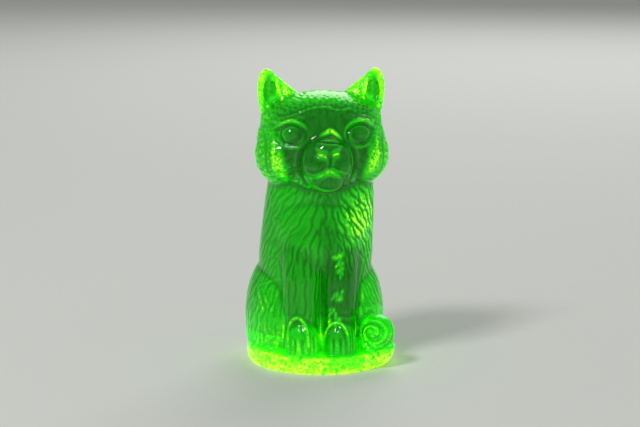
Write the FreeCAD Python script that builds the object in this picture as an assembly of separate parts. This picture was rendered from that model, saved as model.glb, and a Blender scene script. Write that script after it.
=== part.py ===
"""A sitting cat pressed from one gather of uranium glass, 80 mm tall.

The figure faces -Y and stands on z = 0, with its own left side towards +X. The origin is the centre of
the flat face under its foot. Lengths are in millimetres.

The glass is one casting. It is modelled as the masses that the mould maker cut: each mass is a solid of
its own, and it meets its neighbours face to face, as one pressing divided along its creases.
"""

import FreeCAD
import Part

import math
import os
from collections import namedtuple

# --- Driving dimensions ---------------------------------------------------------------------------------

# The foot: the oval slab under the figure, with a fire-polished lower edge.
foot_width = 40.0
foot_depth = 40.2
foot_height = 4.5
foot_edge_round = 0.9

# The body, from the top of the foot to the neck. It stands a little away from the tail's side.
body_height = 42.0
body_shift = -1.2
rump_width = 26.4
rump_depth = 33.0
shoulder_width = 30.9
shoulder_depth = 26.0
neck_width = 29.4
neck_depth = 25.4
neck_tuck = 5.5
torso_setback = 2.4

# The ruff of fur on the chest.
ruff_width = 25.0
ruff_depth = 18.0
ruff_height = 27.0
ruff_stand = 1.2
ruff_tuck = 4.0

# The haunches: the folded hind legs.
haunch_span = 38.2
haunch_width = 20.0
haunch_length = 29.0
haunch_height = 35.0
haunch_setback = 3.4
haunch_middle_share = 0.22

# The forelegs stand straight, side by side, on upright paws.
foreleg_spacing = 9.9
foreleg_shift = -1.3
foreleg_width = 9.9
foreleg_depth = 11.0
foreleg_height = 31.0
foreleg_reach = 11.4
paw_width = 9.5
paw_length = 10.2
paw_height = 15.0
paw_step = 2.3

# The tail lies on the foot, round the figure's left side, and ends in a round tip beside the left foreleg.
tail_path_radius = 15.4
tail_setback = 1.0
tail_thickness = 5.8
tail_root_angle = 106.0
tail_curl_angle = -42.0
tail_curl_diameter = 9.8
tail_curl_stand = 3.6

# The head: skull, crown, cheeks and jaw in one mass, over the foot's middle rather than the body's.
head_shift = 0.1
head_height = 27.2
skull_width = 35.0
skull_depth = 29.0
skull_forward = 1.5
crown_width = 33.0
crown_depth = 23.0
crown_height = 16.4
crown_forward = 0.6
crown_stand = 0.25
cheek_span = 36.4
cheek_width = 16.6
cheek_depth = 19.0
cheek_height = 17.0
cheek_drop = 3.0
cheek_forward = 2.4
jaw_width = 20.0
jaw_depth = 17.0
jaw_height = 11.0
jaw_forward = 6.2
jaw_rise = 1.0

# The face, by where each feature's centre stands above the neck.
muzzle_width = 13.8
muzzle_depth = 14.0
muzzle_height = 14.4
muzzle_level = 10.2
muzzle_stand = 5.4
nose_width = 8.4
nose_depth = 7.0
nose_height = 6.0
nose_level = 13.6
nose_stand = 0.8
chin_width = 8.6
chin_depth = 8.4
chin_height = 6.6
chin_level = 5.4
chin_stand = 0.6
eye_diameter = 6.4
eye_spacing = 17.4
eye_level = 17.0
eye_stand = 0.9

# The ears stand at the corners of the crown, hollowed at the front.
ear_rise = 6.3
ear_span = 34.4
ear_root_width = 13.0
ear_root_depth = 8.6
ear_root_depth_below = 7.5
ear_tip_width = 2.0
ear_hollow_width = 4.4
ear_hollow_height = 8.0
ear_hollow_depth = 1.7
ear_hollow_lean = 12.0

# How far a leg, a paw or the tail reaches below the top of the foot, before it is cut level with it: a
# length for the lofts, and for the rounded masses the height of the middle as a share of their own.
root_reach = 1.0
paw_middle_share = 0.12
tail_middle_share = 0.47
curl_middle_share = 0.5

# --- Levels that follow from them -----------------------------------------------------------------------

neck_level = foot_height + body_height
crown_level = neck_level + head_height
overall_height = crown_level + ear_rise

Ball = namedtuple("Ball", "centre radii")
Section = namedtuple("Section", "centre half_width half_depth")


# --- Shapes ---------------------------------------------------------------------------------------------


def ball(x, y, z, width, depth, height):
    """An ellipsoid, by its centre and its full sizes along X, Y and Z."""
    return Ball(FreeCAD.Vector(x, y, z), FreeCAD.Vector(width / 2, depth / 2, height / 2))


def solid_of(shape):
    """The solid of a Ball. Its surface's seam is turned to the back, away from the face's features."""
    stretch = FreeCAD.Matrix()
    stretch.scale(shape.radii)
    sphere = Part.makeSphere(1.0)
    sphere.rotate(FreeCAD.Vector(0, 0, 0), FreeCAD.Vector(0, 0, 1), 90)
    solid = sphere.transformGeometry(stretch)
    solid.translate(shape.centre)
    return solid


def front_of(shape, x, z):
    """How far forward (-Y) a Ball's surface reaches at x and z."""
    across = (x - shape.centre.x) / shape.radii.x
    up = (z - shape.centre.z) / shape.radii.z
    return shape.centre.y - shape.radii.y * math.sqrt(max(0.0, 1 - across**2 - up**2))


def smooth_oval(centre, across, along):
    """A closed spline round an oval, given its middle and its two half-axes as vectors. It always starts
    on the first half-axis, so that ovals of any proportion loft without a twist."""
    turns = 12
    points = []
    for step in range(turns):
        angle = 2 * math.pi * step / turns
        points.append(centre + across * math.cos(angle) + along * math.sin(angle))
    curve = Part.BSplineCurve()
    curve.interpolate(points, PeriodicFlag=True)
    return Part.Wire([curve.toShape()])


def lofted(sections):
    """A smooth solid through level oval sections."""
    wires = []
    for section in sections:
        across = FreeCAD.Vector(section.half_width, 0, 0)
        along = FreeCAD.Vector(0, section.half_depth, 0)
        wires.append(smooth_oval(section.centre, across, along))
    return Part.makeLoft(wires, True, False)


def whole(shape):
    """A cut mass as one solid, without the crumbs, far under a cubic millimetre, that a cut can leave
    where three masses meet."""
    return max(shape.Solids, key=lambda solid: solid.Volume)


def above_foot():
    """A block over the whole figure, with its lower face on top of the foot."""
    reach = 4 * max(foot_width, foot_depth)  # wide enough to clear every mass
    block = Part.makeBox(reach, reach, 2 * overall_height)
    block.translate(FreeCAD.Vector(-reach / 2, -reach / 2, foot_height))
    return block


# --- Masses ---------------------------------------------------------------------------------------------


def foot():
    """The slab that the figure stands on, flat below, with a rounded lower edge."""
    front = FreeCAD.Vector(0, foot_depth / 2, 0)
    side = FreeCAD.Vector(foot_width / 2, 0, 0)
    outline = Part.Ellipse(front, side, FreeCAD.Vector(0, 0, 0)).toShape()
    slab = Part.Face(Part.Wire([outline])).extrude(FreeCAD.Vector(0, 0, foot_height))
    lower = [edge for edge in slab.Edges if edge.BoundBox.ZMax < foot_height / 2]
    return slab.makeFillet(foot_edge_round, lower)


def torso():
    """The trunk, from the rump on the foot to the neck inside the head, with the ruff on its chest."""
    middle_width = (rump_width + shoulder_width) / 2
    upper_width = (shoulder_width + neck_width) / 2

    def section(share, lean, setback, width, depth):
        """An oval at a share of the body's height. lean is its share of the body's shift to one side."""
        centre = FreeCAD.Vector(body_shift * lean, setback, foot_height + share * body_height)
        return Section(centre, width / 2, depth / 2)

    trunk = lofted(
        [
            section(-root_reach / body_height, 1.0, torso_setback, rump_width, rump_depth),
            section(0.30, 1.0, torso_setback * 0.9, middle_width, rump_depth * 0.95),
            section(0.68, 0.7, torso_setback * 0.4, shoulder_width, shoulder_depth * 1.02),
            section(0.86, 0.3, torso_setback * 0.1, upper_width, shoulder_depth * 0.97),
            section(1.0, 0.0, 0.0, neck_width, neck_depth),
            section(1.0 + neck_tuck / body_height, 0.0, -1.0, neck_width * 0.92, neck_depth * 0.82),
        ]
    )
    return trunk.fuse(solid_of(ruff()))


def ruff():
    """The fur on the chest, which hangs from the neck to a point between the forelegs."""
    level = neck_level - ruff_height / 2 + ruff_tuck
    front = -shoulder_depth / 2 + ruff_depth / 2 - ruff_stand
    return ball(body_shift / 2, front, level, ruff_width, ruff_depth, ruff_height)


def thigh(side):
    """A folded hind leg. side is 1 on the figure's left and -1 on its right."""
    x = body_shift + side * (haunch_span - haunch_width) / 2
    level = foot_height + haunch_height * haunch_middle_share
    return solid_of(ball(x, haunch_setback, level, haunch_width, haunch_length, haunch_height))


def foreleg(side):
    """A straight foreleg on its upright paw, tucked at the top into the chest."""
    x = foreleg_shift + side * foreleg_spacing / 2

    def section(share, tuck, width, depth):
        """An oval at a share of the leg's height, drawn back towards the chest by tuck."""
        centre = FreeCAD.Vector(x, -foreleg_reach + tuck, foot_height + share * foreleg_height)
        return Section(centre, foreleg_width / 2 * width, foreleg_depth / 2 * depth)

    column = lofted(
        [
            section(-root_reach / foreleg_height, 0.0, 0.96, 0.94),
            section(0.4, 0.4, 0.97, 0.92),
            section(0.8, 1.6, 1.04, 0.94),
            section(1.0, 4.6, 0.9, 0.7),
        ]
    )
    paw_y = -foreleg_reach - paw_step
    paw_level = foot_height + paw_height * paw_middle_share
    return column.fuse(solid_of(ball(x, paw_y, paw_level, paw_width, paw_length, paw_height)))


def tail():
    """The tail: a low roll swept round the left side, from a round root to a round curl at its tip."""
    axis = FreeCAD.Vector(0, tail_setback, 0)
    level = foot_height + tail_thickness * tail_middle_share
    start = FreeCAD.Vector(tail_path_radius, tail_setback, level)
    section = Part.Circle(start, FreeCAD.Vector(0, 1, 0), tail_thickness / 2).toShape()
    face = Part.Face(Part.Wire([section]))
    face.rotate(axis, FreeCAD.Vector(0, 0, 1), tail_curl_angle)
    sweep = face.revolve(axis, FreeCAD.Vector(0, 0, 1), tail_root_angle - tail_curl_angle)
    root = Part.makeSphere(tail_thickness / 2)
    root.translate(on_tail_path(tail_root_angle, tail_path_radius, level))
    curl = Part.makeSphere(tail_curl_diameter / 2)
    curl_level = foot_height + tail_curl_diameter * curl_middle_share
    curl.translate(on_tail_path(tail_curl_angle, tail_path_radius + tail_curl_stand, curl_level))
    return sweep.fuse([root, curl])


def on_tail_path(angle, radius, level):
    """A point at an angle and a radius round the middle of the tail's sweep."""
    x = radius * math.cos(math.radians(angle))
    y = tail_setback + radius * math.sin(math.radians(angle))
    return FreeCAD.Vector(x, y, level)


def skull():
    """The main ball of the head, from the neck to just under the crown."""
    level = neck_level + head_height / 2
    return ball(head_shift, -skull_forward, level, skull_width, skull_depth, head_height)


def head():
    """The skull, with its flatter crown, its two full cheeks and the jaw under them."""
    crown = ball(
        head_shift,
        -skull_forward - crown_forward,
        crown_level - crown_height / 2 + crown_stand,
        crown_width,
        crown_depth,
        crown_height,
    )
    jaw_y = -skull_forward - jaw_forward
    jaw_level = neck_level + jaw_height / 2 + jaw_rise
    jaw = ball(head_shift, jaw_y, jaw_level, jaw_width, jaw_depth, jaw_height)
    cheek_y = -skull_forward - cheek_forward
    cheek_level = neck_level + head_height / 2 - cheek_drop
    cheeks = []
    for side in (-1, 1):
        x = head_shift + side * (cheek_span - cheek_width) / 2
        cheeks.append(solid_of(ball(x, cheek_y, cheek_level, cheek_width, cheek_depth, cheek_height)))
    return solid_of(skull()).fuse([solid_of(crown), solid_of(jaw), *cheeks])


def muzzle():
    """The muzzle, with the nose on top of its front and the chin below."""
    level = neck_level + muzzle_level
    x = head_shift
    bulb_y = front_of(skull(), x, level) - muzzle_stand + muzzle_depth / 2
    bulb = ball(x, bulb_y, level, muzzle_width, muzzle_depth, muzzle_height)
    nose_z = neck_level + nose_level
    nose_y = front_of(bulb, x, nose_z) + nose_depth / 2 - nose_stand
    nose = ball(x, nose_y, nose_z, nose_width, nose_depth, nose_height)
    chin_z = neck_level + chin_level
    chin_y = front_of(bulb, x, chin_z) + chin_depth / 2 - chin_stand
    chin = ball(x, chin_y, chin_z, chin_width, chin_depth, chin_height)
    return solid_of(bulb).fuse([solid_of(nose), solid_of(chin)])


def eye(side):
    """A round eye, set in the front of the skull."""
    x = head_shift + side * eye_spacing / 2
    z = neck_level + eye_level
    y = front_of(skull(), x, z) + eye_diameter / 2 - eye_stand
    return solid_of(ball(x, y, z, eye_diameter, eye_diameter, eye_diameter))


def ear(side):
    """An upright ear on the corner of the crown, with a hollow in its front."""
    outer = ear_span / 2
    root_level = crown_level - ear_root_depth_below
    rise = overall_height - root_level

    def section(share, inset, width, depth, forward):
        """An oval at a share of the ear's height, with its outer edge inset from the ears' span."""
        x = head_shift + side * (outer - inset - width / 2)
        centre = FreeCAD.Vector(x, -skull_forward - forward, root_level + share * rise)
        return Section(centre, width / 2, depth / 2)

    blade = lofted(
        [
            section(0.0, 1.4, ear_root_width, ear_root_depth, 0.0),
            section(0.3, 0.4, ear_root_width * 0.96, ear_root_depth * 0.92, 0.1),
            section(0.56, 0.0, ear_root_width * 0.8, ear_root_depth * 0.74, 0.2),
            section(0.72, 0.1, ear_root_width * 0.58, ear_root_depth * 0.56, 0.3),
            section(0.86, 0.6, ear_root_width * 0.36, ear_root_depth * 0.4, 0.5),
            section(0.96, 1.4, ear_tip_width * 1.2, ear_tip_width * 1.1, 0.6),
            section(1.0, 2.0, ear_tip_width * 0.6, ear_tip_width * 0.6, 0.6),
        ]
    )
    scoop = solid_of(ball(0, 0, 0, ear_hollow_width, ear_hollow_depth * 2, ear_hollow_height))
    scoop.rotate(FreeCAD.Vector(0, 0, 0), FreeCAD.Vector(0, 1, 0), side * ear_hollow_lean)
    x = head_shift + side * (outer - ear_root_width * 0.28)
    y = -skull_forward - ear_root_depth * 0.38
    scoop.translate(FreeCAD.Vector(x, y, root_level + rise * 0.52))
    return blade.cut(scoop)


# --- The casting, divided along its creases -------------------------------------------------------------


def casting():
    """Every mass by node name. A mass that stands on another keeps its own shape, and the other is cut
    away to receive it, so that they share one face."""
    masses = {
        "left_eye": eye(1),
        "right_eye": eye(-1),
        "muzzle": muzzle(),
        "left_ear": ear(1),
        "right_ear": ear(-1),
        "head": head(),
        "tail": tail(),
        "left_foreleg": foreleg(1),
        "right_foreleg": foreleg(-1),
        "left_haunch": thigh(1),
        "right_haunch": thigh(-1),
        "torso": torso(),
    }
    keep = above_foot()
    placed = {"foot": foot()}
    done = []
    for name, mass in masses.items():
        shape = mass.common(keep)
        neighbours = [other for other in done if other.BoundBox.intersect(shape.BoundBox)]
        if neighbours:
            shape = shape.cut(neighbours)
        placed[name] = whole(shape)
        done.append(mass)
    return placed


def main():
    os.makedirs("parts", exist_ok=True)
    for name, shape in casting().items():
        if not shape.isValid() or not shape.Solids:
            raise ValueError(f"{name} is not a valid solid")
        shape.exportStep(os.path.join("parts", f"{name}.step"))
        print(f"{name}: {len(shape.Solids)} solid, {shape.Volume / 1000:.3f} cm3")


main()
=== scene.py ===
import math

import bmesh
import bpy
import numpy as np
from mathutils import Euler, Matrix, Vector, kdtree
from mathutils.bvhtree import BVHTree


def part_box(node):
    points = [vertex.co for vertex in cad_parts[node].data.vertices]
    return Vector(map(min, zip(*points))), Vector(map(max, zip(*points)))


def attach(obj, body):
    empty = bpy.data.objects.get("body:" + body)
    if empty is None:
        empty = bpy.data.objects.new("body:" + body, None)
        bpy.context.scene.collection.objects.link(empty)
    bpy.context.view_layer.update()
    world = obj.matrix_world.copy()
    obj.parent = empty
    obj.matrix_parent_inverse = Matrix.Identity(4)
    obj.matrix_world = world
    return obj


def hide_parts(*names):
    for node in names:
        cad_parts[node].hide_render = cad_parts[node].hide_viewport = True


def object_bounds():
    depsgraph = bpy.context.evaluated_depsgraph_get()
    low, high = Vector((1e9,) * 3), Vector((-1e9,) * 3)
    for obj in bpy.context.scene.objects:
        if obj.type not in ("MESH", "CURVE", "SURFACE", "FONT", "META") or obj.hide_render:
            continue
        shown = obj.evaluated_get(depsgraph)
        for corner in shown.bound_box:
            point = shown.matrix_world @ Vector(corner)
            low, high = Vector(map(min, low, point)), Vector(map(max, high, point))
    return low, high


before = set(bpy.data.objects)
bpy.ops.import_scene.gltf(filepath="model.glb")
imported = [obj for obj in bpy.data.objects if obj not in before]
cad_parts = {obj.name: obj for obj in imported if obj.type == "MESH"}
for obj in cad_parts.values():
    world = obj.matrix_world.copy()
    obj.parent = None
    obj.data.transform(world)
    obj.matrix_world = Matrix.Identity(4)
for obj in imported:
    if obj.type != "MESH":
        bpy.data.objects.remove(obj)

cad_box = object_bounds()

# --- Camera ---------------------------------------------------------------------------------------------
# A 100 mm portrait lens on a 36 mm frame, a little above the figure and a little to its right, so that the
# cat looks past it.

camera_azimuth = math.radians(-6.5)
camera_elevation = math.radians(10.4)
camera_distance = 0.484
aim = Vector((0, 0, (cad_box[0].z + cad_box[1].z) / 2))

camera_data = bpy.data.cameras.new("portrait_lens")
camera_data.lens = 100
camera_data.sensor_width = 36
camera = bpy.data.objects.new("camera", camera_data)
bpy.context.scene.collection.objects.link(camera)
bpy.context.scene.camera = camera
towards_camera = Vector((
    math.sin(camera_azimuth) * math.cos(camera_elevation),
    -math.cos(camera_azimuth) * math.cos(camera_elevation),
    math.sin(camera_elevation),
))
camera.location = aim + towards_camera * camera_distance
camera.rotation_euler = towards_camera.to_track_quat("Z", "Y").to_euler()

# --- The pressed figure ---------------------------------------------------------------------------------
# The cat is one casting of uranium glass: a hot gather is pressed in a hinged iron mould, and its skin is
# then melted smooth in a flame. The masses are joined, and each crease is rounded as the flame rounds it.

mm = 0.001
voxel = 0.38 * mm  # fine enough for the narrowest cut in the fur
flame_rounding = 6  # passes that blend the masses into each other


def middle(node):
    """The middle of a mass, in millimetres."""
    low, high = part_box(node)
    return (low + high) / 2 / mm


head = middle("head")
muzzle = middle("muzzle")
eyes = {1: middle("left_eye"), -1: middle("right_eye")}
ears = {1: middle("left_ear"), -1: middle("right_ear")}
legs = {1: middle("left_foreleg"), -1: middle("right_foreleg")}
foot_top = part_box("foot")[1].z / mm
neck_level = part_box("head")[0].z / mm
muzzle_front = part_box("muzzle")[0].y / mm

casting = bmesh.new()
node_of_face = []
for name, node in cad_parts.items():
    casting.from_mesh(node.data)
    node_of_face += [name] * (len(casting.faces) - len(node_of_face))
masses = BVHTree.FromBMesh(casting)
bmesh.ops.remove_doubles(casting, verts=casting.verts, dist=0.001 * mm)


def add_form(centre, size, lean=(0, 0, 0)):
    """Adds a rounded form to the casting, by its middle and full size in millimetres, leant in degrees."""
    turn = Euler([math.radians(angle) for angle in lean]).to_matrix().to_4x4()
    stretch = Matrix.Diagonal((*[length / 2 * mm for length in size], 1))
    place = Matrix.Translation(Vector(centre) * mm)
    bmesh.ops.create_icosphere(casting, subdivisions=4, radius=1, matrix=place @ turn @ stretch)


# The wedge of the nose's bridge, then on each side a brow, an eyeball and a pad of the muzzle.
add_form((head.x + 0.4, muzzle.y + 3.8, muzzle.z + 6.4), (6.8, 10.0, 8.0), (30, 0, 0))
for side, eye in eyes.items():
    add_form(eye + Vector((side * 0.4, 1.3, 3.8)), (9.8, 5.6, 2.8), (20, side * 10, side * 24))
    add_form(eye + Vector((0, -0.5, 0)), (6.2, 6.0, 5.2), (0, 0, side * 20))
    add_form((head.x + side * 3.0, muzzle_front + 5.0, muzzle.z - 0.6), (7.0, 9.4, 6.6), (0, 0, side * -12))

# Glass that fills the corners between the masses.
between_legs = (legs[1].x + legs[-1].x) / 2
add_form((between_legs, -8.0, 32.6), (20.0, 14.6, 17.0))  # from the chest down into the forelegs
add_form((-10.2, 3.2, 7.0), (20.4, 28.0, 13.4))  # from the right haunch down into the foot
add_form((14.0, -10.6, 5.2), (10.4, 11.4, 9.8))  # under the tail's curl
add_form((head.x, 3.0, neck_level + 3.5), (28.0, 20.6, 18.0))  # the nape, from the head into the neck

# The tail, a roll laid on top of the foot, round the left haunch to the rump, where it thins out. Turns are
# in degrees, from the figure's left towards its back.
tail_ring_radius = 16.4
tail_ring_setback = 0.7
tail_roll_rise = 2.6
tail_roll_thickness = 5.8
tail_root_thinning = 1.6
tail_curl_turn, tail_thinning_turn, tail_root_turn = -40, 80, 110
for turn in range(tail_curl_turn, tail_root_turn + 1, 5):
    swept = math.radians(turn)
    thinned = max(0, turn - tail_thinning_turn) / (tail_root_turn - tail_thinning_turn)
    thick = tail_roll_thickness - tail_root_thinning * thinned
    across, back = tail_ring_radius * math.cos(swept), tail_ring_setback + tail_ring_radius * math.sin(swept)
    add_form((across, back, foot_top + tail_roll_rise), (thick, thick, thick))

bmesh.ops.recalc_face_normals(casting, faces=casting.faces)
joined = bpy.data.meshes.new("joined_masses")
casting.to_mesh(joined)
casting.free()
cat = bpy.data.objects.new("pressed_glass_cat", joined)
bpy.context.scene.collection.objects.link(cat)
remesh = cat.modifiers.new("one_skin", "REMESH")
remesh.mode = "VOXEL"
remesh.voxel_size = voxel
skin_mesh = bpy.data.meshes.new_from_object(cat.evaluated_get(bpy.context.evaluated_depsgraph_get()))
cat.modifiers.clear()
cat.data = skin_mesh
bpy.data.meshes.remove(joined)


def smooth_skin(passes, factor=0.5, where=None):
    """Lets the flame run the skin's creases and edges into each other, all over or where a test holds."""
    skin = bmesh.new()
    skin.from_mesh(skin_mesh)
    soft = [vert for vert in skin.verts if where is None or where(vert.co / mm)]
    for _ in range(passes):
        bmesh.ops.smooth_vert(
            skin, verts=soft, factor=factor, use_axis_x=True, use_axis_y=True, use_axis_z=True
        )
    skin.to_mesh(skin_mesh)
    skin.free()


smooth_skin(flame_rounding)

# No crease is left where the right haunch runs down into the foot, where the head runs into the nape, and
# where the forelegs run up into the chest. Each round of passes reaches further, so that none ends in a step.
haunch_crease, nape_crease_rise, chest_crease = 4.6, 2, 33.5
crease_passes = 10
for margin in (0.0, 0.7, 1.4, 2.1):
    smooth_skin(
        crease_passes,
        where=lambda at: (
            abs(at.z - haunch_crease) < 2.9 + margin and at.y > -9 - margin and at.x < margin - 6
        ),
    )
    smooth_skin(
        crease_passes,
        where=lambda at: abs(at.z - neck_level - nape_crease_rise) < 4 + margin and at.y > 1 - margin,
    )
    smooth_skin(
        crease_passes,
        where=lambda at: (
            abs(at.z - chest_crease) < 6 + margin and at.y < margin - 4 and abs(at.x) < 12 + margin
        ),
    )


def read_skin(attribute):
    """The skin's points or their normals, as rows of three."""
    values = np.empty(len(skin_mesh.vertices) * 3)
    skin_mesh.vertices.foreach_get(attribute, values)
    return values.reshape(-1, 3)


points = read_skin("co") / mm
facing = read_skin("normal")
x, y, z = points.T
skin_tree = kdtree.KDTree(len(points))
for index, point in enumerate(points):
    skin_tree.insert(point, index)
skin_tree.balance()
front = BVHTree.FromPolygons(points.tolist(), [tuple(face.vertices) for face in skin_mesh.polygons])
mass_of = np.array([node_of_face[masses.find_nearest(Vector(point) * mm)[2]] for point in points])
cut = np.zeros(len(points))  # how deep the mould's relief goes in at each point, in mm
rise = np.zeros(len(points))  # and how far it stands out
painted_highlight = np.zeros(len(points))  # the painted highlight: how much painted glow is laid there


def press(path, width, depth, light=0.0):
    """Presses a soft groove into the skin along a path over it, in mm, or a ridge for a depth under 0. Both
    run out at their ends. light is how much painted glow, a painted highlight, is laid along it."""
    field = cut if depth > 0 else rise
    reach = width / 2
    for step, place in enumerate(path):
        share = (step + 0.5) / len(path)
        taper = math.sqrt(math.sin(math.pi * share))
        for _, index, distance in skin_tree.find_range(place, reach):
            amount = taper * (1 - (distance / reach) ** 2) ** 2
            field[index] = max(field[index], amount * abs(depth))
            painted_highlight[index] = max(painted_highlight[index], amount * light)


path_step = 0.25  # mm between the points of a drawn path
cast_distance = 100  # mm in front of the figure, from where a drawn path is cast onto it


def on_front(origin, corners, closed=False):
    """A rounded path over the front of the figure, through places in mm across and up from an origin."""
    line = np.array([*corners, corners[0]] if closed else corners, dtype=float) + (origin.x, origin.z)
    for _ in range(3):  # cuts the corners off, which turns straight runs into a curve
        first = line[:-1] * 0.75 + line[1:] * 0.25
        second = line[:-1] * 0.25 + line[1:] * 0.75
        inner = np.stack((first, second), axis=1).reshape(-1, 2)
        line = inner if closed else np.vstack((line[:1], inner[1:-1], line[-1:]))
        if closed:
            line = np.vstack((line, line[:1]))
    length = np.concatenate(([0], np.cumsum(np.linalg.norm(np.diff(line, axis=0), axis=1))))
    places = np.arange(0, length[-1], path_step)
    path = []
    for px, pz in zip(np.interp(places, length, line[:, 0]), np.interp(places, length, line[:, 1])):
        hit = front.ray_cast(Vector((px, -cast_distance, pz)), Vector((0, 1, 0)))[0]
        if hit is not None:
            path.append(hit)
    return path


def engrave(origin, lines, side=1, shift=0.0):
    """Presses a table of lines, each with its corners, width, depth and painted highlight. side -1 mirrors
    them, and shift moves them across, in mm."""
    for corners, width, depth, light in lines:
        placed = [(shift + side * u, v) for u, v in corners]
        press(on_front(origin, placed), width, depth, light)


# --- The face -------------------------------------------------------------------------------------------
# The eyes, the nose and the mouth are part of the same pressing: shallow relief that the mould maker cut
# with rounded gravers, softened again by the flame. Every line is given from the middle of its feature.

eye_rim_half_width, eye_rim_half_height = 3.3, 2.85
upper_lid = ((-3.4, 1.7), (-2.2, 2.9), (-0.4, 3.6), (1.7, 3.5), (3.6, 2.2), (5.2, 0.9))
lower_lid = ((-3.4, -1.0), (-1.8, -2.5), (0.5, -3.3), (2.5, -3.0), (4.0, -1.5), (4.7, 0.2))
# Both lids carry a painted highlight, the last number of each line.
eye_lines = ((upper_lid, 1.8, -0.6, 0.75), (lower_lid, 1.4, -0.35, 0.35))
for side, eye in eyes.items():
    rim_turns = np.linspace(0, 2 * math.pi, 12)[:-1]
    rim = [(eye_rim_half_width * math.cos(turn), eye_rim_half_height * math.sin(turn)) for turn in rim_turns]
    press(on_front(eye, rim, closed=True), 1.3, 0.8)
    engrave(eye, eye_lines, side)

# The last number of each line is its painted highlight: on the wedge's top, the nostrils, the lips, the chin
# and the muzzle's inner edges.
nose_lines = (
    (((-1.8, 7.2), (-0.2, 7.8), (0.8, 8.6), (2.0, 7.8), (3.8, 6.2)), 2.4, -0.35, 1.0),  # the wedge's top
    (((-2.4, 6.2), (1.6, 6.0), (4.4, 5.2)), 1.3, 0.5, 0.0),  # and the crease under it
    (((-3.3, 3.1), (-1.8, 2.6), (-0.5, 2.4)), 1.7, 0.7, 1.0),  # the right nostril
    (((-3.3, 4.4), (-1.8, 3.9), (-0.5, 3.7)), 1.6, -0.25, 0.0),
    (((1.0, 2.6), (2.1, 2.9), (3.1, 3.2)), 1.7, 0.7, 1.0),  # the left nostril
    (((1.0, 3.9), (2.1, 4.2), (3.1, 4.5)), 1.6, -0.25, 0.0),
    (((0.3, 1.9), (0.2, 0.4), (0.1, -1.1)), 1.1, 0.45, 0.0),  # the groove from the nose to the lips
)
upper_lip = ((-5.9, -2.0), (-4.2, -2.6), (-2.0, -1.9), (0.1, -0.6), (2.2, -1.3), (5.6, -2.6))
lips = ((-3.8, -4.0), (-2.1, -3.0), (-0.9, -2.2), (0.1, -1.4), (1.4, -2.2), (4.1, -4.1))
chin = ((-3.6, -5.7), (-1.6, -6.5), (0.2, -6.9), (2.2, -6.5), (4.0, -5.7))
mouth_lines = ((upper_lip, 1.4, -0.25, 0.0), (lips, 1.6, 0.75, 0.9), (chin, 1.8, -0.3, 0.5))
muzzle_outline = (
    (((-5.4, 5.4), (-6.9, 3.4), (-7.6, 0.0), (-7.0, -3.4), (-4.8, -6.4)), 2.0, 0.5, 0.0),
    (((6.0, 5.4), (7.2, 3.4), (7.9, 0.0), (7.4, -3.4), (5.4, -6.4)), 2.0, 0.5, 0.0),
    (((-5.6, 4.0), (-6.4, 1.0), (-6.2, -2.0)), 0.9, -0.15, 0.5),  # the lit edges inside it
    (((5.6, 4.6), (6.7, 1.6), (6.8, -1.6), (5.6, -4.4)), 1.1, -0.15, 0.8),
)
for lines in (nose_lines, mouth_lines, muzzle_outline):
    engrave(muzzle, lines)

# The hairline above the smooth forehead, a ridge with a painted highlight.
hairline = (
    (-10.9, 11.4), (-8.0, 12.4), (-5.6, 13.4), (-3.0, 14.2), (0.7, 14.3),
    (2.6, 13.5), (4.6, 13.4), (6.4, 13.9), (10.0, 11.9),
)
press(on_front(muzzle, hairline), 1.4, -0.25, light=0.35)

# The long ridge of fur that frames each cheek, with a painted highlight, the hollow outside it, and the patch
# of fur below, a low ridge with painted glow.
cheek_lines = (
    (((14.1, 8.3), (13.8, 6.2), (13.6, 4.0), (14.0, 1.1), (13.5, -2.4), (11.6, -4.8)), 3.2, -0.35, 0.85),
    (((16.0, 8.3), (15.7, 6.2), (15.5, 4.0), (15.9, 1.1), (15.4, -2.4), (13.5, -4.8)), 1.9, 0.3, 0.0),
    (((12.6, 4.4), (13.0, 1.5), (12.2, -2.0), (10.6, -5.4)), 6.0, -0.2, 0.85),
)
for side in (-1, 1):
    engrave(muzzle, cheek_lines, side)

# --- The ears -------------------------------------------------------------------------------------------
# Each ear is a thin triangle with two hollows in its front, an outer deep one and an inner shallow one,
# and a rib between them. The rims, the rib and the fronts of the ears carry a bright painted glow.

ear_hollow_across = 14.2
ear_lines = (
    (((0.3, 5.6), (0.4, 1.4), (0.8, -1.8)), 3.4, 1.1, 0.0),  # the outer hollow
    (((-0.8, 3.4), (-1.1, 1.4), (-0.8, 0.0)), 2.8, 1.0, 0.0),  # and its inner slope
    (((-3.2, 3.8), (-3.6, 1.4), (-3.4, -0.4)), 2.4, 0.6, 0.0),  # the inner hollow
    (((-1.0, 5.8), (-2.4, 3.2), (-2.6, 0.2)), 1.4, -0.3, 1.0),  # the rib
)
for side, ear in ears.items():
    engrave(ear, ear_lines, side, side * ear_hollow_across - ear.x)

# Painted shade: the floor of the outer hollow, which leans out as it goes down, is kept dark.
hollow_across, hollow_level, hollow_lean = 13.9, 75.0, 0.9
hollow_half_width, hollow_half_height = 1.9, 3.7
ear_hollow_painted_shade = np.zeros(len(points))
for side in ears:
    across = side * x - hollow_across
    off_middle = (across - 0.1) / hollow_half_width
    off_level = (z - hollow_level + hollow_lean * across) / hollow_half_height
    ear_hollow_painted_shade = np.maximum(ear_hollow_painted_shade, np.exp(-(off_middle**4) - off_level**4))
on_ears = np.isin(mass_of, ("left_ear", "right_ear"))
ear_hollow_painted_shade *= on_ears * (y < -1.0)

# --- The legs, the paws and the tail --------------------------------------------------------------------
# The forelegs part along one deep line. Each paw is a low arch with cuts for its toes. The tail ends in a
# flat roll, wound like a snail, and the hinge of the mould has left a fine seam over the haunch.

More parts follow.
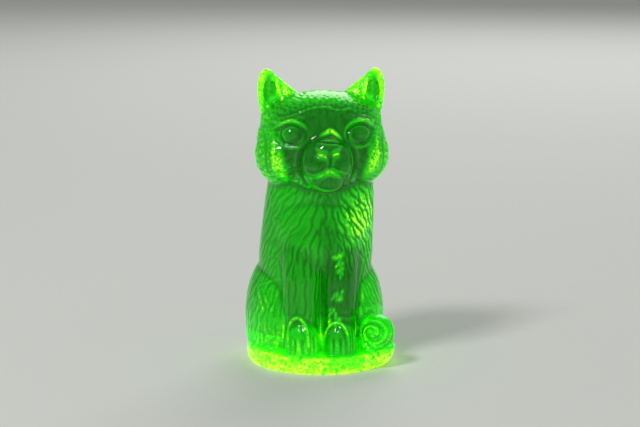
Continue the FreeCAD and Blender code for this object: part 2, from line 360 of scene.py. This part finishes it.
ground = Vector()
parting = [(between_legs + u, v) for u, v in ((0.0, 28.0), (-0.1, 22.0), (0.0, 14.0), (0.2, 5.2))]
# The last number of each line is its painted highlight: on the parting's foot and the legs' lower ends.
leg_lines = (
    (parting, 1.4, 0.8, 0.0),
    (parting[2:], 1.0, 0.2, 0.9),  # its lit foot, between the paws
    (((-12.0, 29.0), (-11.3, 23.1), (-10.9, 16.0), (-11.3, 9.0), (-11.8, 5.0)), 1.3, 0.5, 0.0),  # outer edges
    (((12.4, 30.6), (10.6, 24.5), (9.6, 18.1), (9.2, 14.4), (9.2, 8.4), (8.8, 5.2)), 1.3, 0.5, 0.0),
    (((-11.2, 14.6), (-11.2, 9.8), (-11.6, 5.0)), 1.2, -0.2, 1.0),  # their lit lower ends
    (((8.2, 14.2), (8.3, 9.6), (8.0, 5.0)), 1.2, -0.2, 1.0),
    (((6.9, 11.0), (7.1, 5.0)), 1.1, 0.6, 0.0),  # the outer toes
    (((-3.6, 10.0), (-3.5, 5.0)), 1.1, 0.6, 0.0),
)
engrave(ground, leg_lines)
paw_arches = (
    ((-10.2, 5.4), (-10.3, 9.6), (-9.5, 13.6), (-7.8, 15.2), (-5.9, 13.4), (-5.2, 9.5), (-5.4, 5.6)),
    ((-0.7, 5.4), (-0.6, 8.6), (0.6, 12.0), (2.9, 13.6), (4.9, 11.8), (5.6, 8.6), (5.6, 5.4)),
)
# Each arch is a ridge with a painted highlight along it.
for arch in paw_arches:
    press(on_front(ground, arch), 1.5, -0.5, light=0.9)
    paw_middle = (arch[0][0] + arch[-1][0]) / 2
    for toe in (-0.9, 0.9):
        press(on_front(ground, ((paw_middle + toe, 9.2), (paw_middle + toe * 1.1, 5.0))), 1.1, 0.6)

# The curl is wound from two strands, from its middle outwards and a little to the right.
curl = Vector((11.7, 0, 10.2))
curl_core, curl_growth, curl_steps = 0.7, 3.9, 40
for strand, turns in ((0.0, 2.1), (0.5, 1.5)):
    winding = []
    for step in range(curl_steps):
        share = step / (curl_steps - 1)
        turn = 2 * math.pi * (turns * share + strand)
        radius = curl_core + curl_growth * share
        winding.append((2.0 * share + radius * math.cos(turn), -0.7 * share + radius * math.sin(turn)))
    press(on_front(curl, winding), 1.1, 0.55)

# The upper edge of the tail is cut all the way round the haunch, from the rump to the curl.
tail_top = foot_top + 5.7
tail_middle = Vector((0, tail_ring_setback, tail_top))
tail_edge = []
for turn in np.arange(-30, 112, 0.8):
    outward = Vector((math.cos(math.radians(turn)), math.sin(math.radians(turn)), 0))
    hit = front.ray_cast(tail_middle + outward * 60, -outward)[0]
    if hit is not None:
        tail_edge.append(hit)
press(tail_edge, 2.4, 1.0)
tail_turn = np.degrees(np.arctan2(y - tail_ring_setback, x))
on_roll = (z > foot_top) & (z < tail_top) & (tail_turn > -32) & (tail_turn < 108)
mass_of[on_roll & (np.hypot(x, y - tail_ring_setback) > 13)] = "tail"

# The seam and the two tufts carry painted highlights, the last number of each line.
haunch_lines = (
    (((-18.8, 20.1), (-16.0, 22.1), (-13.6, 23.1), (-11.3, 24.4)), 0.8, -0.2, 0.6),  # the seam
    (((-17.4, 21.0), (-17.0, 18.3), (-16.2, 15.0)), 1.4, -0.25, 0.75),  # two tufts under it
    (((-16.0, 19.6), (-15.4, 17.6), (-14.9, 16.2)), 1.1, -0.2, 0.5),
)
engrave(ground, haunch_lines)

# Painted glow in cloudy patches down the left foreleg, where the far side of the glass would show through.
# Each patch is given by its place on the front and half its height, and is drawn in short dashes.
patch_rng = np.random.default_rng(5)
painted_leg_glow_patches = ((3.2, 29.2, 3.0), (3.0, 21.0, 1.5), (2.4, 15.2, 2.2))
dashes_per_mm = 7  # of half height
for across, up, half_height in painted_leg_glow_patches:
    for _ in range(int(dashes_per_mm * half_height)):
        left = across + patch_rng.uniform(-1.5, 1.5)
        top = up + patch_rng.uniform(-half_height, half_height)
        drop = patch_rng.uniform(0.6, 1.8)
        dash = ((left, top), (left - 0.3, top - drop / 2), (left + patch_rng.uniform(-0.5, 0.3), top - drop))
        press(on_front(ground, dash), 1.1, -0.04, light=patch_rng.uniform(0.7, 0.95))

# --- The fur --------------------------------------------------------------------------------------------
# The coat is cut as tapering grooves, each about a millimetre wide, that follow the lie of the hair: out
# from the nose over the head, down the back, apart over the shoulders and together to a tip on the chest.

rng = np.random.default_rng(11)
strand_step = 0.3  # mm between the points of a groove
groove_width = 1.05


def eased(values):
    """Values from 0 to 1 with a soft start and a soft end."""
    values = np.clip(values, 0, 1)
    return values * values * (3 - 2 * values)


def unit(rows):
    """Rows of three, each with a length of 1."""
    return rows / np.maximum(np.linalg.norm(rows, axis=1, keepdims=True), 1e-9)


# Which way the hair lies on each mass. Over the body it runs down and apart, and near the tip of the chest
# it runs together. On the head it runs away from the nose, and down at the back.
front_ease = 8  # mm from the middle of the figure to where its front counts in full
chest_tip = np.array((-2.0, -14.5, 22.5))  # where the chest's hairs meet, low between the forelegs
nose_tip = np.array((0.2, -18.0, 62.0))
in_front = eased(-y / front_ease)
near_tip = eased((35 - z) / 7) * eased(1.4 - np.abs(x + 2) / 6) * in_front
to_tip = unit(chest_tip - points)
outwards = 0.8 * np.clip(x / 9, -1, 1) * in_front
parted = unit(np.stack((outwards, 0.45 * np.abs(x) / 15, -np.ones_like(x)), axis=1))
body_lie = parted * (1 - near_tip[:, None]) + to_tip * near_tip[:, None]
head_lie = unit(points - nose_tip) - np.outer(0.7 * eased((y + 2) / 12), (0, 0, 1))
haunch_lie = np.stack((0.1 * np.sign(x), np.full_like(x, 0.3), -np.ones_like(x)), axis=1)
tail_lie = unit(np.stack((y - 1, -x, np.zeros_like(x)), axis=1))
leg_lie = np.stack((np.full_like(x, -0.06), np.zeros_like(x), -np.ones_like(x)), axis=1)

lie = body_lie.copy()
for names, direction in (
    (("head", "muzzle", "left_eye", "right_eye", "left_ear", "right_ear"), head_lie),
    (("left_haunch", "right_haunch"), haunch_lie),
    (("tail",), tail_lie),
    (("left_foreleg", "right_foreleg"), leg_lie),
):
    here = np.isin(mass_of, names)
    lie[here] = direction[here]
lie = unit(lie - facing * np.sum(lie * facing, axis=1, keepdims=True))
lie_at = [Vector(row) for row in lie]
point_at = [Vector(row) for row in points]
facing_at = [Vector(row) for row in facing]


def comb(allowed, length, gap, depth, sway=0.3, wave=6.0, tries=14000):
    """Cuts grooves of a length along the fur's lie, in mm, no nearer to each other than the gap. allowed
    says for each point how likely a groove is to start there."""
    starts = np.nonzero(rng.random(len(points)) < allowed)[0]
    starts = rng.permutation(starts)[:tries]
    phases = rng.uniform(0, 2 * math.pi, len(starts))
    stretch = rng.uniform(0.7, 1.3, len(starts))
    along = 0.8 * length  # from one groove to the next in the same line
    taken = {}
    for start, phase, share in zip(starts, phases, stretch):
        place, heading = point_at[start], lie_at[start]
        cell = tuple(int(value // along) for value in place)
        near = [
            other
            for i in (-1, 0, 1)
            for j in (-1, 0, 1)
            for k in (-1, 0, 1)
            for other in taken.get((cell[0] + i, cell[1] + j, cell[2] + k), ())
        ]
        clear = True
        for other in near:
            apart = other - place
            ahead = apart.dot(heading)
            if (ahead / along) ** 2 + (apart.length_squared - ahead**2) / gap**2 < 1:
                clear = False
                break
        if not clear:
            continue
        taken.setdefault(cell, []).append(place)
        path = []
        for step in range(int(length * share / strand_step)):
            _, index, _ = skin_tree.find(place)
            normal, heading = facing_at[index], lie_at[index]
            swing = sway * math.sin(2 * math.pi * step * strand_step / wave + phase)
            heading = heading * math.cos(swing) + normal.cross(heading) * math.sin(swing)
            place = place + heading * strand_step
            place = place - normal * (place - point_at[index]).dot(normal)
            path.append(place)
        press(path, groove_width, depth)


on_torso = mass_of == "torso"
on_head = mass_of == "head"
on_haunches = np.isin(mass_of, ("left_haunch", "right_haunch"))
on_legs = np.isin(mass_of, ("left_foreleg", "right_foreleg"))
curl_middle, curl_radius_squared = np.array((14.1, -11.7, 9.4)), 30  # the curl itself has no fur
on_tail = (mass_of == "tail") & (((points - curl_middle) ** 2).sum(axis=1) > curl_radius_squared)
face = in_front * eased(2.0 - np.hypot(x - head.x, (z - 60.0) * 1.15) / 8.5)  # smooth, round nose and eyes
stipple = on_head * (1 - face)
left_shoulder = eased((x - 1) / 5) * eased((z - 30) / 6)
comb(on_torso * left_shoulder, length=8.0, gap=1.4, depth=0.45, sway=0.35)
comb(on_torso * (1 - left_shoulder) * eased((z - 9) / 6), length=7.0, gap=1.5, depth=0.2, sway=0.22)
comb(on_haunches * eased((z - 7) / 6) * 0.6, length=5.0, gap=2.0, depth=0.25)
comb(stipple * (z < 62), length=3.4, gap=1.5, depth=0.25, sway=0.2)
comb(stipple * (z > 60), length=1.3, gap=1.3, depth=0.16, sway=0.2)
comb(on_ears * (y > -1), length=2.2, gap=1.5, depth=0.2)
comb(on_tail * (z > 5.2), length=4.5, gap=1.4, depth=0.3)
comb(on_legs * eased((z - 13) / 4) * eased((34 - z) / 6), length=6.5, gap=1.9, depth=0.13, sway=0.15)

skin_mesh.vertices.foreach_set("co", ((points + facing * (rise - cut)[:, None]) * mm).ravel())
smooth_skin(1, 0.4)

# The underside of the foot is ground flat, so that the cat stands without rocking.
grinding = 0.25  # mm
points = read_skin("co") / mm
points[:, 2] = np.where(points[:, 2] < grinding, 0.0, points[:, 2])
skin_mesh.vertices.foreach_set("co", (points * mm).ravel())
skin_mesh.update()
skin_mesh.shade_smooth()

# --- The glass ------------------------------------------------------------------------------------------
# Uranium glass: soda-lime glass with a trace of uranium oxide, which glows green under ultraviolet light.
# Its glow is painted on as emission: a lime painted glow on thin edges and ridges, and painted shade,
# emerald, over the deep body. The flame leaves it glossy, with faint ripples where the mould chilled it.


def linear(code):
    """A colour's linear values, from its sRGB hex code."""
    shares = [int(code[start:start + 2], 16) / 255 for start in (1, 3, 5)]
    return tuple(s / 12.92 if s <= 0.04045 else ((s + 0.055) / 1.055) ** 2.4 for s in shares) + (1.0,)


def add_node(tree, kind, settings=(), inputs=()):
    """Adds a node. Each input is given a value, or the socket that feeds it."""
    node = tree.nodes.new(kind)
    for name, value in dict(settings).items():
        setattr(node, name, value)
    for name, value in dict(inputs).items():
        if isinstance(value, bpy.types.NodeSocket):
            tree.links.new(value, node.inputs[name])
        else:
            node.inputs[name].default_value = value
    return node


points = read_skin("co") / mm
facing = read_skin("normal")
x, y, z = points.T
edges = np.empty(len(skin_mesh.edges) * 2, dtype=np.int64)
skin_mesh.edges.foreach_get("vertices", edges)
edges = edges.reshape(-1, 2)
neighbours = np.bincount(edges.ravel(), minlength=len(points)).astype(float)


def spread(values):
    """The mean of each point's neighbours, for one value or a row of values per point."""
    total = np.zeros_like(values)
    np.add.at(total, edges[:, 0], values[edges[:, 1]])
    np.add.at(total, edges[:, 1], values[edges[:, 0]])
    return total / (neighbours if values.ndim == 1 else neighbours[:, None])


def settled(values, passes):
    """Values evened out between neighbours."""
    for _ in range(passes):
        values = (values + spread(values)) / 2
    return values


# Painted glow: brighter where the glass is thin or rounded out, on the foot, the haunches, the ears, the
# cheeks and the crown, with painted shade on the face, the eyes, the left foreleg and the chest; each share
# below is of the full painted glow.
bulge = settled(np.sum((points - spread(points)) * facing, axis=1), 2)  # above 0 on ridges and edges, in mm
in_front = eased(-y / front_ease)
shoulder = np.exp(-((x - 11) ** 2 / 30 + (z - 40) ** 2 / 36)) * in_front
chest = np.exp(-((x - 1) ** 2 / 20 + (z - 38) ** 2 / 60)) * in_front
face_side = in_front * eased(2.0 - np.hypot(x - head.x - 1.0, (z - 59.0) * 0.95) / 8.0)
eyeballs = in_front * eased(1.5 - np.hypot(np.abs(x - head.x) - 8.7, (z - 63.5) * 1.2) / 2.6)
left_leg = in_front * eased((x + 1.5) / 2) * eased((11 - x) / 2) * eased((36 - z) / 8)
painted_glow_by_place = (
    0.28  # all over
    - 0.17 * face_side
    - 0.13 * eyeballs
    - 0.16 * left_leg
    - 0.08 * chest
    + 0.15 * on_haunches * in_front
    + 0.07 * on_torso * in_front * eased((1 - x) / 6)
    + 0.5 * eased((6.5 - z) / 4.5)  # in the foot
    + 0.14 * eased((16 - z) / 10)  # near the foot
    + on_ears * (0.16 + 0.26 * eased((-y - 0.5) / 2))
    + 0.04 * (mass_of == "tail")
    + 0.2 * on_head * eased((np.abs(x) - 11.5) / 3.5) * eased((4 - y) / 8)  # in the cheeks
    + 0.3 * on_head * eased((z - 70.0) / 3.0)  # on the crown
)
# Painted shade in the grooves, and painted glow on the ridges and edges and on the shoulder's ridges.
painted_groove_shade = np.where(on_torso & (shoulder < 0.15), -0.007, -0.012)
painted_edge_glow = 10.0 * np.clip(bulge, painted_groove_shade, 0.035) + 0.7 * shoulder * eased((bulge + 0.004) / 0.012)
glow_spread = 14  # passes that run the painted glow of one mass into the next
painted_glow = np.maximum(settled(painted_glow_by_place, glow_spread) + painted_edge_glow, painted_highlight) - 0.5 * ear_hollow_painted_shade
painted_glow = settled(np.clip(painted_glow, 0, 1), 1)
skin_mesh.attributes.new("painted_glow", "FLOAT", "POINT").data.foreach_set("value", painted_glow)

glass = bpy.data.materials.new("uranium_glass_fire_polished_painted_glow")
glass.use_nodes = True
tree = glass.node_tree
tree.nodes.clear()
place = add_node(tree, "ShaderNodeTexCoord").outputs["Object"]
ripple_size, ripple_depth = 2.2 * mm, 0.05 * mm  # chill ripples on pressed glass
grain_size, grain_depth = 0.5 * mm, 0.012 * mm  # the pitted skin of an iron mould, drawn a little coarse
painted_glow_mottle_size = 0.9 * mm  # the cloudy patches of painted glow
ripple = add_node(
    tree, "ShaderNodeTexNoise", inputs={"Vector": place, "Scale": 1 / ripple_size, "Detail": 2.0}
)
grain = add_node(
    tree, "ShaderNodeTexNoise", inputs={"Vector": place, "Scale": 1 / grain_size, "Detail": 1.0}
)
rippled = add_node(
    tree,
    "ShaderNodeBump",
    inputs={"Height": ripple.outputs["Fac"], "Strength": 1.0, "Distance": ripple_depth},
)
grained = add_node(
    tree,
    "ShaderNodeBump",
    inputs={
        "Height": grain.outputs["Fac"],
        "Strength": 1.0,
        "Distance": grain_depth,
        "Normal": rippled.outputs["Normal"],
    },
)
haze = add_node(
    tree,
    "ShaderNodeMapRange",
    inputs={
        "Value": ripple.outputs["Fac"],
        "From Min": 0.35,
        "From Max": 0.7,
        "To Min": 0.02,
        "To Max": 0.09,
    },
)
# The emission is painted glow: its colour is read from the painted glow on the skin, in cloudy patches where
# it is bright.
painted_glow_read = add_node(tree, "ShaderNodeAttribute", {"attribute_name": "painted_glow"})
painted_glow_mottle = add_node(
    tree,
    "ShaderNodeTexNoise",
    inputs={"Vector": place, "Scale": 1 / painted_glow_mottle_size, "Detail": 3.0, "Distortion": 1.2},
)
painted_glow_patches = add_node(
    tree,
    "ShaderNodeMapRange",
    inputs={
        "Value": painted_glow_mottle.outputs["Fac"],
        "From Min": 0.35,
        "From Max": 0.65,
        "To Min": 0.62,
        "To Max": 1.2,
    },
)
gathered = add_node(
    tree, "ShaderNodeMapRange", inputs={"Value": painted_glow_read.outputs["Fac"], "From Min": 0.4, "From Max": 0.7}
)
painted_glow_cloud = add_node(
    tree, "ShaderNodeMix", inputs={0: gathered.outputs["Result"], 2: 1.0, 3: painted_glow_patches.outputs["Result"]}
)
painted_glow_share = add_node(
    tree, "ShaderNodeMath", {"operation": "MULTIPLY"}, {0: painted_glow_read.outputs["Fac"], 1: painted_glow_cloud.outputs[0]}
)
painted_glow_ramp = add_node(tree, "ShaderNodeValToRGB", inputs={"Fac": painted_glow_share.outputs["Value"]})
stops = painted_glow_ramp.color_ramp.elements
stops[0].position, stops[0].color = 0.0, linear("#001800")
stops[1].position, stops[1].color = 1.0, linear("#dcf53c")
for position, code in ((0.25, "#024e01"), (0.55, "#16ac04"), (0.82, "#8cf014")):
    stop = stops.new(position)
    stop.color = linear(code)
# The glass's tint follows the painted glow: paler where the glow is painted bright, deeper green in the
# painted shade.
painted_glow_tint_ramp = add_node(tree, "ShaderNodeValToRGB", inputs={"Fac": painted_glow_share.outputs["Value"]})
tints = painted_glow_tint_ramp.color_ramp.elements
tints[0].position, tints[0].color = 0.0, linear("#0c8008")
tints[1].position, tints[1].color = 1.0, linear("#e6ff9c")
tints.new(0.35).color = linear("#3fc81e")
surface = add_node(
    tree,
    "ShaderNodeBsdfPrincipled",
    inputs={
        "Base Color": painted_glow_tint_ramp.outputs["Color"],
        "Transmission Weight": 1.0,
        "IOR": 1.46,
        "Roughness": haze.outputs["Result"],
        "Normal": grained.outputs["Normal"],
        "Emission Color": painted_glow_ramp.outputs["Color"],
        "Emission Strength": 1.0,
    },
)
# The glass lets yellow-green through, and its colour deepens with the thickness.
depth_tint = add_node(
    tree, "ShaderNodeVolumeAbsorption", inputs={"Color": (0.79, 0.976, 0.0, 1), "Density": 1600.0}
)
add_node(
    tree,
    "ShaderNodeOutputMaterial",
    inputs={"Surface": surface.outputs["BSDF"], "Volume": depth_tint.outputs["Volume"]},
)
skin_mesh.materials.clear()
skin_mesh.materials.append(glass)
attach(cat, "root")
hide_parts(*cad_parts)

# --- Floor and light ------------------------------------------------------------------------------------
# A plain pale floor, a small softbox in front to the left, a broad one behind to the right, and a pale room.

floor_mesh = bpy.data.meshes.new("floor")
floor_shape = bmesh.new()
bmesh.ops.create_grid(floor_shape, x_segments=1, y_segments=1, size=6)
floor_shape.to_mesh(floor_mesh)
floor_shape.free()
floor = bpy.data.objects.new("floor", floor_mesh)
bpy.context.scene.collection.objects.link(floor)
paper = bpy.data.materials.new("pale_matt_paper")
paper.use_nodes = True
paper.node_tree.nodes["Principled BSDF"].inputs["Base Color"].default_value = linear("#d9dad6")
paper.node_tree.nodes["Principled BSDF"].inputs["Roughness"].default_value = 0.9
floor_mesh.materials.append(paper)

world = bpy.data.worlds.new("studio")
bpy.context.scene.world = world
world.use_nodes = True
world.node_tree.nodes["Background"].inputs["Color"].default_value = linear("#e6e8e4")
world.node_tree.nodes["Background"].inputs["Strength"].default_value = 0.4
for name, place, size, power in (
    ("softbox_left", Vector((-0.55, -0.5, 0.85)), 0.22, 5.0),
    ("softbox_behind", Vector((0.35, 0.9, 0.75)), 0.8, 5.0),
):
    lamp = bpy.data.lights.new(name, "AREA")
    lamp.energy = power
    lamp.size = size
    light = bpy.data.objects.new(name, lamp)
    bpy.context.scene.collection.objects.link(light)
    light.location = place
    light.rotation_euler = (place - aim).to_track_quat("Z", "Y").to_euler()
bpy.context.scene.view_settings.view_transform = "Standard"
